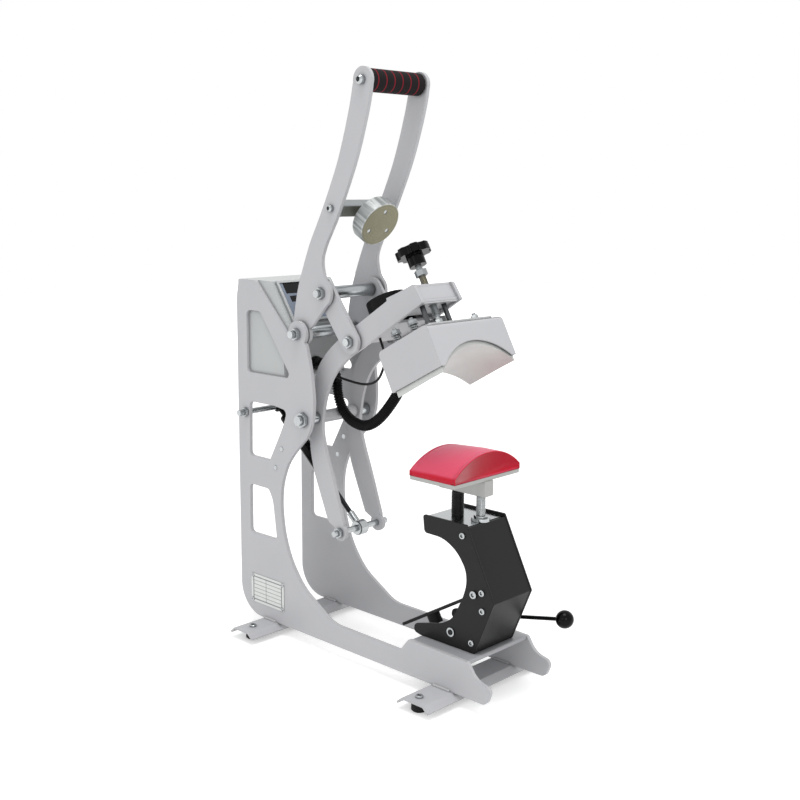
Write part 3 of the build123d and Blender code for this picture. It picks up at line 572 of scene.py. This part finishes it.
def tube_across(half_mm: float, radius_mm: float, bore_mm: float, at: Point) -> bpy.types.Mesh:
    """Makes a tube across the press with chamfered ends.

    Args:
        half_mm: half its length.
        radius_mm: outer radius.
        bore_mm: inner radius.
        at: its axis in the side view.

    Returns:
        The tube's mesh, in place.
    """
    rim = 0.8
    outer = [(radius_mm - rim, -half_mm), (radius_mm, -half_mm + rim), (radius_mm, half_mm - rim), (radius_mm - rim, half_mm)]
    mesh = spun([(bore_mm, -half_mm), *outer, (bore_mm, half_mm)], 40)
    mesh.transform(Matrix.Translation(place(*at)) @ Matrix.Rotation(math.pi / 2, 4, "Y"))
    return mesh


def nurbs_route(name: str, points: list[Vector]) -> bpy.types.Curve:
    """Makes the smooth line of a held hose or lead.

    Args:
        name: the curve's name.
        points: its control points.

    Returns:
        A curve of one open NURBS spline of order 3.
    """
    line = bpy.data.curves.new(name, "CURVE")
    line.dimensions = "3D"
    line.resolution_u = 24
    spline = line.splines.new("NURBS")
    spline.points.add(len(points) - 1)
    for point, at in zip(spline.points, points):
        point.co = (*at, 1.0)
    spline.order_u = 3
    spline.use_endpoint_u = True
    return line


@dataclass
class SideFrame(SubAssembly):
    """The two side plates, foot bars, table, pins and nameplate."""

    weld_mm: float = 3.0
    weld_pitch_mm: float = 3.2
    weld_spans: tuple[Point, ...] = ((62.0, 88.0), (452.0, 482.0))
    plate_faces_mm: Point = (67.0, 73.0)
    handle_pin: Point = (151.0, 498.0)
    tag_corners: tuple[Point, Point] = ((27.5, 23.6), (112.5, 73.8))
    tag_face_mm: float = -73.8

    def build(self) -> None:
        """Dresses the frame and adds the weld beads at the foot bars."""
        self.dress(GREY_POWDER, "side_plate_left", "side_plate_right", "foot_bars")
        self.dress(TABLE_SHADED_POWDER, "table")
        self.dress(RUBBER, "rubber_feet")
        self.dress(ZINC, "frame_screws", "frame_nuts", "frame_pins", "main_shaft")
        self.dress(PLATE_METAL, "nameplate")
        self.keep("foot_welds", self.welds(), GREY_POWDER, "frame")
        self.keep("pivot_tube", tube_across(56.5, 9.6, 6.2, self.handle_pin), TUBE_STEEL, "frame")
        self.keep("nameplate_lines", self.etched_form(), ETCHED_LINE, "frame", smooth=False)
        self.keep("nameplate_rivets", self.rivets(), ZINC, "frame")

    def etched_form(self) -> bpy.types.Mesh:
        """Rules the nameplate with an empty form: a border, rows and one divider.

        Returns:
            One mesh of thin flat lines.
        """
        (back, low), (front, high) = self.tag_corners
        back, low, front, high = back + 6, low + 5, front - 6, high - 5
        rows = 6
        levels = [low + (high - low) * n / rows for n in range(1, rows)]
        divider = back + (front - back) * 0.45
        bars = [(back, front, z - 0.35, z + 0.35) for z in levels] + [(divider - 0.35, divider + 0.35, low, high)]
        bars += [(back - 1, front + 1, z - 0.9, z + 0.9) for z in (low, high)]
        bars += [(f - 0.9, f + 0.9, low, high) for f in (back, front)]
        corners, faces = [], []
        for f0, f1, z0, z1 in bars:
            first = len(corners)
            for x in (self.tag_face_mm - 0.15, self.tag_face_mm + 0.1):
                corners += [place(f, z, x) for f, z in ((f0, z0), (f1, z0), (f1, z1), (f0, z1))]
            quads = [(0, 1, 2, 3), (7, 6, 5, 4)] + [(n, n + 4, (n + 1) % 4 + 4, (n + 1) % 4) for n in range(4)]
            faces += [tuple(first + n for n in quad) for quad in quads]
        mesh = bpy.data.meshes.new("form")
        mesh.from_pydata(corners, [], faces)
        outward(mesh)
        return mesh

    def rivets(self) -> bpy.types.Mesh:
        """Sets a domed drive rivet on each corner of the nameplate.

        Returns:
            One mesh of the four heads.
        """
        dome = spun([(0, 0), (3.4, 0), (3.4, 0.5), (2.6, 1.2), (1.2, 1.5), (1.0, 0.7), (0, 0.7)], 24)
        lay = Matrix.Rotation(-math.pi / 2, 4, "Y")
        spots = [(f, z) for f in (31.5, 108.5) for z in (27.5, 70.0)]
        return joined([(dome, Matrix.Translation(place(f, z, self.tag_face_mm)) @ lay) for f, z in spots])

    def welds(self) -> bpy.types.Mesh:
        """Lays a painted weld bead along each plate's foot.

        Returns:
            One mesh of overlapping drops.
        """
        seeds = bpy.data.meshes.new("weld_seeds")
        points = []
        for start, end in self.weld_spans:
            for face in self.plate_faces_mm:
                for side in (-1, 1):
                    steps = int((end - start) / self.weld_pitch_mm)
                    points += [place(start + self.weld_pitch_mm * n, 0.4, side * face) for n in range(steps + 1)]
        seeds.from_pydata(points, [], [])
        maker = NodeTreeMaker("weld_beads", {"Bead": self.weld_mm * MM})
        tree, given = maker.open_tree()
        drop = add_node(tree, "GeometryNodeMeshIcoSphere", {"Radius": given.outputs["Bead"], "Subdivisions": 2})
        laid = add_node(
            tree, "GeometryNodeInstanceOnPoints", {"Points": given.outputs["Geometry"], "Instance": drop.outputs[0]}
        )
        maker.close_tree(tree, laid.outputs[0], GREY_POWDER)
        return maker.run(tree, seeds)


@dataclass
class ControlBox(SubAssembly):
    """The folded box with its sloped panel and rear fittings."""

    def build(self) -> None:
        """Dresses the box."""
        self.dress(GREY_BOX_POWDER, "control_box")
        self.dress(BRUSHED_ALUMINIUM, "panel_bezel")
        self.dress(SMOKED, "display_window")
        self.dress(PANEL_GREY, "panel_label")
        self.dress(SATIN_BLACK, "box_fittings")
        self.dress(GLOSS_BLACK, "mains_switch", "panel_button_1", "panel_button_2", "panel_button_3")


@dataclass
class CapStand(SubAssembly):
    """The black stand, the platen and its screw, and the cap hold-down."""

    stud_forward_mm: float = 475.0
    stud_span_mm: Point = (254.0, 282.0)
    post_forward_mm: float = 430.0
    post_span_mm: Point = (246.0, 278.0)

    def build(self) -> None:
        """Dresses the stand and threads its stud."""
        self.dress(BLACK_POWDER, "stand_sides", "stand_front", "hold_down_strap", "platen_post")
        self.dress(MILLED_ALUMINIUM, "platen_plate")
        self.dress(ZINC, "stand_seat")
        self.dress(ROD_STEEL, "lever_shaft")
        self.dress(GLOSS_BLACK, "lever_ball")
        self.dress(RUBBER, "strap_bumper")
        self.thread("platen_stud_thread", ZINC, self.stud_forward_mm, 6.3, 1.75, self.stud_span_mm)
        self.thread("platen_post_thread", BLACK_POWDER, self.post_forward_mm, 8.7, 2.5, self.post_span_mm)

    def thread(self, name: str, finish: Finish, forward: float, radius: float, pitch: float, span: Point) -> None:
        """Stands a screw thread on an upright bar of the stand.

        Args:
            name: the piece's name.
            finish: its finish.
            forward: the bar's distance in front of the back edge, in mm.
            radius: the thread's radius in mm.
            pitch: its rise per turn in mm.
            span: its lower and upper end in mm.
        """
        ridge = helix(radius, pitch, span[1] - span[0], pitch * 0.42, finish)
        ridge.transform(Matrix.Translation(place(forward, span[0])))
        self.keep(name, ridge, finish, "frame")


@dataclass
class CapPad(SubAssembly):
    """The crowned silicone pad."""

    half_width_mm: float = 75.0
    span_mm: Point = (399.0, 488.0)
    crease_mm: float = 455.0
    base_mm: float = 312.5
    crown_mm: float = 350.5
    curve_mm: float = 111.5
    fall: float = 0.066
    spread: float = 0.116
    rim_mm: float = 1.6

    def section(self, forward: float, inset: float) -> list[Vector]:
        """Draws the pad across the press.

        Args:
            forward: where it is cut, in mm in front of the back edge.
            inset: how far the section is drawn in from the pad's own outline, in mm.

        Returns:
            Points from the left bottom corner over the crown to the right bottom corner.
        """
        behind = max(self.crease_mm - forward, 0.0)
        curve = self.curve_mm + behind * self.spread
        middle = self.crown_mm - behind * self.fall - curve
        half, radius = self.half_width_mm - inset, curve - inset
        reach = math.asin(half / radius)
        over = [
            (radius * math.sin(a), middle + radius * math.cos(a)) for a in (reach * (n / 24 - 1) for n in range(49))
        ]
        corner = over[0][1]
        left = [(-half, self.base_mm + inset * 0.3), (-half, (self.base_mm + corner) / 2)]
        outline = left + over + [(-x, z) for x, z in reversed(left)]
        return [place(forward, z, x) for x, z in outline]

    def build(self) -> None:
        """Makes the pad with rounded rims and lets it stand for its CAD solid."""
        start, end = self.span_mm
        turns = [math.pi / 2 * n / 5 for n in range(6)]
        rim = [(self.rim_mm * (1 - math.sin(a)), self.rim_mm * (1 - math.cos(a))) for a in reversed(turns)]
        steps = 14
        inner = [start + self.rim_mm + (end - start - 2 * self.rim_mm) * n / steps for n in range(1, steps)]
        stations = [(start + f, inset) for f, inset in reversed(rim)]
        stations += [(f, 0.0) for f in sorted([*inner, self.crease_mm])]
        stations += [(end - f, inset) for f, inset in rim]
        rings = [self.section(f, inset) for f, inset in stations]
        count = len(rings[0])
        faces = [
            (r * count + i, r * count + (i + 1) % count, (r + 1) * count + (i + 1) % count, (r + 1) * count + i)
            for r in range(len(rings) - 1)
            for i in range(count)
        ]
        faces += [tuple(reversed(range(count))), tuple(range((len(rings) - 1) * count, len(rings) * count))]
        mesh = bpy.data.meshes.new("cap_pad")
        mesh.from_pydata([v for ring in rings for v in ring], [], faces)
        mesh.validate()
        outward(mesh)
        pad = self.keep("cap_pad", mesh, SILICONE, "frame")
        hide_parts("silicone_pad")


def outward(mesh: bpy.types.Mesh) -> None:
    """Turns a closed mesh's faces to point out.

    Args:
        mesh: the mesh, changed in place.
    """
    work = bmesh.new()
    work.from_mesh(mesh)
    bmesh.ops.recalc_face_normals(work, faces=work.faces)
    work.to_mesh(mesh)
    work.free()


@dataclass
class Handle(SubAssembly):
    """The pull-down handle with its grip and the armature disc."""

    link_pin: Point = (197.0, 565.0)

    def build(self) -> None:
        """Dresses the handle."""
        self.dress(GREY_POWDER, "handle_arm_left", "handle_arm_right")
        self.dress(FOAM, "grip_foam")
        self.dress(FOAM_RED, "grip_rings")
        self.dress(ZINC, "handle_bolts", "link_shaft", "link_bolts")
        self.dress(DRAWN_STEEL, "handle_bars")
        self.keep("link_tube", tube_across(47.4, 10.2, 8.1, self.link_pin), TUBE_STEEL, "handle")
        self.dress(GREY_POWDER, "link_left", "link_right")
        centre = swing((151.0, 498.0), HANDLE_OPEN_DEG) @ place(357.5, 500.0)
        # Turned mild steel: oil leaves the working face olive, and the rim is bright from the lathe, with pale streaks
        # along its axis painted on as reflections.
        disc = Finish(
            "turned_armature_steel", "#8A8771", 0.42, Grain.TURNED, 0.8, 0.02, "#7B7864", 9.0, metallic=0.75,
            centre=tuple(centre), tilt_deg=-HANDLE_OPEN_DEG, rim_colour="#8A8F8F", rim_painted_reflection="#C9CCCB", rim_mm=35.2,
            crevice_shade=0.5,
        )
        self.dress(disc, "armature")


@dataclass
class HeadArms(SubAssembly):
    """The bent arms, magnet and pressure screw."""

    pivot: Point = (165.0, 361.0)
    stud_forward_mm: float = 442.0

    def build(self) -> None:
        """Dresses the arms and threads the pressure stud."""
        self.dress(GREY_POWDER, "head_arm_left", "head_arm_right", "arm_cross_plates", "arm_top_plate")
        self.dress(ZINC, "arm_fasteners")
        self.dress(PIT_BLACK, "holding_magnet")
        self.dress(DRAWN_STEEL, "pressure_stud")
        self.dress(GLOSS_BLACK, "star_knob")
        back = swing(self.pivot, HEAD_OPEN_DEG)
        for name, low, high, finish in (("upper", 463.5, 479.5, YELLOW_ZINC), ("lower", 415.8, 457.5, DRAWN_STEEL)):
            thread = helix(5.0, 1.5, high - low, 0.63, finish)
            thread.transform(back @ Matrix.Translation(place(self.stud_forward_mm, low)))
            self.keep(f"pressure_thread_{name}", thread, finish, "knob")


@dataclass
class HeatedHead(SubAssembly):
    """The housing, heater and what hangs it."""

    pivot: Point = (165.0, 361.0)
    bolt_spots: tuple[Point, ...] = ((-62.0, 409.0), (-62.0, 447.0))
    flange_top_mm: float = 392.0
    spring_mm: float = 12.0

    def build(self) -> None:
        """Dresses the head."""
        self.dress(GREY_POWDER, "head_housing")
        self.dress(HEATER_METAL, "heater_plate")
        self.dress(BRUSHED_ALUMINIUM, "head_flange")
        self.dress(ZINC, "heater_posts")
        self.dress(GUIDE_STEEL, "head_guides")
        self.dress(RUBBER, "head_boot")
        self.keep("spring_bolts", self.bolts(), DRAWN_STEEL, "head", smooth=False)
        self.keep("bolt_springs", self.springs(), DRAWN_STEEL, "head")

    def on_flange(self, across: float, forward: float, above: float) -> Matrix:
        """Finds a place on the flange with the press open.

        Args:
            across: distance to the right of the middle plane in mm.
            forward: distance in front of the back edge in mm, with the head level.
            above: height above the flange in mm.

        Returns:
            The matrix that takes an upright part there.
        """
        return swing(self.pivot, HEAD_OPEN_DEG) @ Matrix.Translation(place(forward, self.flange_top_mm + above, across))

    def bolts(self) -> bpy.types.Mesh:
        """Makes the bolts that hang the heater on springs: a shank, a washer and a chamfered nut.

        Returns:
            One mesh of all of them.
        """
        top = self.spring_mm
        shank = spun([(0, 0.2), (3, 0.2), (3, top + 10.4), (2.2, top + 11.2), (0, top + 11.2)], 20)
        washer = spun([(0, top), (8, top), (8, top + 1.4), (0, top + 1.4)], 32)
        nut = spun([(0, top + 1.5), (6.6, top + 1.5), (7.3, top + 2.2), (7.3, top + 6.8), (6.4, top + 7.7), (0, top + 7.7)], 6)
        return joined([(part, self.on_flange(x, f, 0.0)) for x, f in self.bolt_spots for part in (shank, washer, nut)])

    def springs(self) -> bpy.types.Mesh:
        """Winds a short spring round each bolt.

        Returns:
            One mesh of all of them.
        """
        coil = helix(5.6, 3.2, self.spring_mm - 2.2, 0.9, DRAWN_STEEL)
        return joined([(coil, self.on_flange(x, f, 1.2)) for x, f in self.bolt_spots])


@dataclass
class GasSpring(SubAssembly):
    """The spring that holds the head open."""

    def build(self) -> None:
        """Dresses the spring."""
        self.dress(GLOSS_BLACK, "gas_cylinder")
        self.dress(ROD_STEEL, "gas_rod")
        self.dress(ZINC, "gas_eye")


@dataclass
class HeldLines(SubAssembly):
    """The ribbed heater hose and the magnet's lead, held at both ends."""

    pivot: Point = (165.0, 361.0)
    hose_radius_mm: float = 7.2
    swell_mm: float = 1.6
    rib_mm: float = 0.9
    pitch_mm: float = 4.2
    lead_radius_mm: float = 2.0

    def build(self) -> None:
        """Makes both lines between frame and head arms in place of the CAD hose and lead, and leaves them on no body.
        """
        # The end sits high in its boot, because the boot rises 4 mm past it as the head is let down.
        end = swing(self.pivot, HEAD_OPEN_DEG) @ place(378.8, 374.0)
        into = Vector((0.0, -math.cos(math.radians(HEAD_OPEN_DEG)), math.sin(math.radians(HEAD_OPEN_DEG))))
        route = [place(*p) for p in ((108, 440), (166, 440), (166, 389), (193, 353), (248, 348), (311, 418))]
        route += [end - into * 0.028, end]
        hose = self.keep("ribbed_hose", self.hose(nurbs_route("hose_route", route)), HOSE_BLACK, "")
        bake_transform(hose)
        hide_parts("heater_hose")
        top = swing(self.pivot, HEAD_OPEN_DEG) @ place(335, 430)
        down = -(swing(self.pivot, HEAD_OPEN_DEG).to_3x3() @ Vector((0, 0, 1)))
        lead_route = [place(*p) for p in ((108, 441), (220, 421), (276, 425), (295, 458))] + [top + down * 0.026, top]
        for point in lead_route:
            point.x = -0.020
        line = nurbs_route("lead_route", lead_route)
        line.bevel_depth = self.lead_radius_mm * MM
        line.use_fill_caps = True
        holder = bpy.data.objects.new("lead_carrier", line)
        mesh = bpy.data.meshes.new_from_object(holder)
        bpy.data.objects.remove(holder)
        lead = self.keep("magnet_wire", mesh, SATIN_BLACK, "")
        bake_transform(lead)
        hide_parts("magnet_lead")

    def hose(self, line: bpy.types.Curve) -> bpy.types.Mesh:
        """Sweeps a ribbed tube along the route.

        Args:
            line: the hose's route.

        Returns:
            The tube as a plain mesh.
        """
        maker = NodeTreeMaker(
            "ribbed_conduit",
            {"Radius": self.hose_radius_mm * MM, "Swell": self.swell_mm * MM, "Rib": self.rib_mm * MM,
             "Pitch": self.pitch_mm * MM, "Step": self.pitch_mm / 8 * MM},
        )
        tree, given = maker.open_tree()
        fine = add_node(
            tree,
            "GeometryNodeResampleCurve",
            {"Curve": given.outputs["Geometry"], "Length": given.outputs["Step"]},
            mode="LENGTH",
        )
        along = add_node(tree, "GeometryNodeSplineParameter")
        turns = add_node(tree, "ShaderNodeMath", {0: along.outputs["Length"], 1: given.outputs["Pitch"]}, operation="DIVIDE")
        angle = add_node(tree, "ShaderNodeMath", {0: turns.outputs[0], 1: 2 * math.pi}, operation="MULTIPLY")
        wave = add_node(tree, "ShaderNodeMath", {0: angle.outputs[0]}, operation="SINE")
        lift = add_node(tree, "ShaderNodeMath", {0: wave.outputs[0], 1: 1.0}, operation="SUBTRACT")
        # The hose is a little slimmer in the gland and the boot that grip its ends.
        into_gland = {"Value": along.outputs["Factor"], "From Min": 0.06, "From Max": 0.1}
        into_boot = {"Value": along.outputs["Factor"], "From Min": 0.94, "From Max": 0.91}
        free = [add_node(tree, "ShaderNodeMapRange", grip).outputs[0] for grip in (into_gland, into_boot)]
        loose = add_node(tree, "ShaderNodeMath", dict(enumerate(free)), operation="MULTIPLY")
        body = add_node(
            tree,
            "ShaderNodeMath",
            {0: loose.outputs[0], 1: given.outputs["Swell"], 2: given.outputs["Radius"]},
            operation="MULTIPLY_ADD",
        )
        swell = add_node(
            tree,
            "ShaderNodeMath",
            {0: lift.outputs[0], 1: given.outputs["Rib"], 2: body.outputs[0]},
            operation="MULTIPLY_ADD",
        )
        ring = add_node(tree, "GeometryNodeCurvePrimitiveCircle", {"Resolution": 24, "Radius": 1.0})
        tube = add_node(
            tree,
            "GeometryNodeCurveToMesh",
            {"Curve": fine.outputs[0], "Profile Curve": ring.outputs[0], "Scale": swell.outputs[0], "Fill Caps": True},
        )
        maker.close_tree(tree, tube.outputs[0], HOSE_BLACK)
        return maker.run(tree, line)


@dataclass
class Studio:
    """The pale floor, soft lights and the camera at the photograph's angle."""

    camera_at: Vector = field(default_factory=lambda: Vector((-1.2839, -1.23045, 0.7516)))
    yaw_deg: float = -46.312
    pitch_deg: float = 10.481
    roll_deg: float = 0.392
    lens_mm: float = 52.32
    ambient: float = 0.8

    def build(self) -> None:
        """Sets up camera, world, lamps and floor."""
        scene = bpy.context.scene
        scene.view_settings.view_transform = "Standard"
        lens = bpy.data.cameras.new("camera")
        lens.lens, lens.sensor_width, lens.clip_end = self.lens_mm, 36.0, 50.0
        camera = bpy.data.objects.new("camera", lens)
        turn = Matrix.Rotation(math.radians(self.yaw_deg), 4, "Z") @ Matrix.Rotation(math.radians(90 - self.pitch_deg), 4, "X")
        camera.matrix_world = Matrix.Translation(self.camera_at) @ turn @ Matrix.Rotation(math.radians(self.roll_deg), 4, "Z")
        scene.collection.objects.link(camera)
        scene.camera = camera
        self.world(scene)
        self.lamp("top_box", (-0.4, -0.3, 2.9), 1.3, 27.0)
        self.lamp("left_box", (-2.6, -0.5, 1.3), 1.2, 3.5)
        self.lamp("front_box", (-1.6, -2.4, 1.4), 0.8, 10.0)
        self.floor()

    def world(self, scene: bpy.types.Scene) -> None:
        """Lights the object evenly and shows white behind it.

        Args:
            scene: the scene that gets the world.
        """
        scene.world = bpy.data.worlds.new("studio")
        scene.world.use_nodes = True
        tree = scene.world.node_tree
        tree.nodes.clear()
        clear = self.seen_directly(tree)
        ambient = add_node(tree, "ShaderNodeBackground", {"Color": (1, 1, 1, 1), "Strength": self.ambient})
        white = add_node(tree, "ShaderNodeBackground", {"Color": (1, 1, 1, 1), "Strength": 1.0})
        mix = add_node(tree, "ShaderNodeMixShader", {0: clear, 1: ambient.outputs[0], 2: white.outputs[0]})
        add_node(tree, "ShaderNodeOutputWorld", {"Surface": mix.outputs[0]})

    def seen_directly(self, tree: bpy.types.NodeTree) -> bpy.types.NodeSocket:
        """Finds the rays that show a thing as it is, straight on, in a mirror or through glass.

        Args:
            tree: the tree that asks.

        Returns:
            A socket that is 1 for such a ray.
        """
        path = add_node(tree, "ShaderNodeLightPath")
        shown = path.outputs["Is Camera Ray"]
        for ray in ("Is Glossy Ray", "Is Transmission Ray"):
            shown = add_node(tree, "ShaderNodeMath", {0: shown, 1: path.outputs[ray]}, operation="MAXIMUM").outputs[0]
        return shown

    def lamp(self, name: str, at: tuple[float, float, float], size: float, watts: float) -> None:
        """Hangs one soft box facing the press.

        Args:
            name: the lamp's name.
            at: where it hangs.
            size: its side in metres.
            watts: its power.
        """
        light = bpy.data.lights.new(name, "AREA")
        light.energy, light.size = watts, size
        box = bpy.data.objects.new(name, light)
        aim = Vector((0.0, 0.0, 0.45)) - Vector(at)
        box.matrix_world = Matrix.Translation(at) @ aim.to_track_quat("-Z", "Y").to_matrix().to_4x4()
        bpy.context.scene.collection.objects.link(box)

    def floor(self) -> None:
        """Lays a pale floor that stays white and keeps the press's shadow."""
        mesh = bpy.data.meshes.new("floor")
        mesh.from_pydata([(-6, -6, 0), (6, -6, 0), (6, 6, 0), (-6, 6, 0)], [], [(0, 1, 2, 3)])
        paint = bpy.data.materials.new("studio_floor")
        paint.use_nodes = True
        tree = paint.node_tree
        tree.nodes.clear()
        matt = add_node(tree, "ShaderNodeBsdfDiffuse", {"Color": linear("#F4F4F4")})
        here = add_node(tree, "ShaderNodeTexCoord")
        away = add_node(tree, "ShaderNodeVectorMath", {0: here.outputs["Object"]}, operation="LENGTH")
        # Far from the lamps the floor glows more, so that it meets the white backdrop without an edge.
        lift = add_node(
            tree,
            "ShaderNodeMapRange",
            {"Value": away.outputs["Value"], "From Min": 1.2, "From Max": 4.0, "To Min": 0.36, "To Max": 0.9},
        )
        glow = add_node(tree, "ShaderNodeEmission", {"Color": (1, 1, 1, 1), "Strength": lift.outputs[0]})
        both = add_node(tree, "ShaderNodeAddShader", {0: matt.outputs[0], 1: glow.outputs[0]})
        mix = add_node(tree, "ShaderNodeMixShader", {0: self.seen_directly(tree), 1: matt.outputs[0], 2: both.outputs[0]})
        add_node(tree, "ShaderNodeOutputMaterial", {"Surface": mix.outputs[0]})
        mesh.materials.append(paint)
        ground = bpy.data.objects.new("floor", mesh)
        bpy.context.scene.collection.objects.link(ground)


def main() -> None:
    """Builds the studio and every sub-assembly in order."""
    logging.basicConfig(level=logging.INFO, format="%(name)s: %(message)s")
    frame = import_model()
    Studio().build()
    for assembly in (SideFrame, ControlBox, CapStand, CapPad, Handle, HeadArms, HeatedHead, GasSpring, HeldLines):
        part = assembly(frame)
        part.build()
        LOG.info("%s built with %d new pieces", assembly.__name__, len(part.made))


if __name__ == "__main__":
    main()
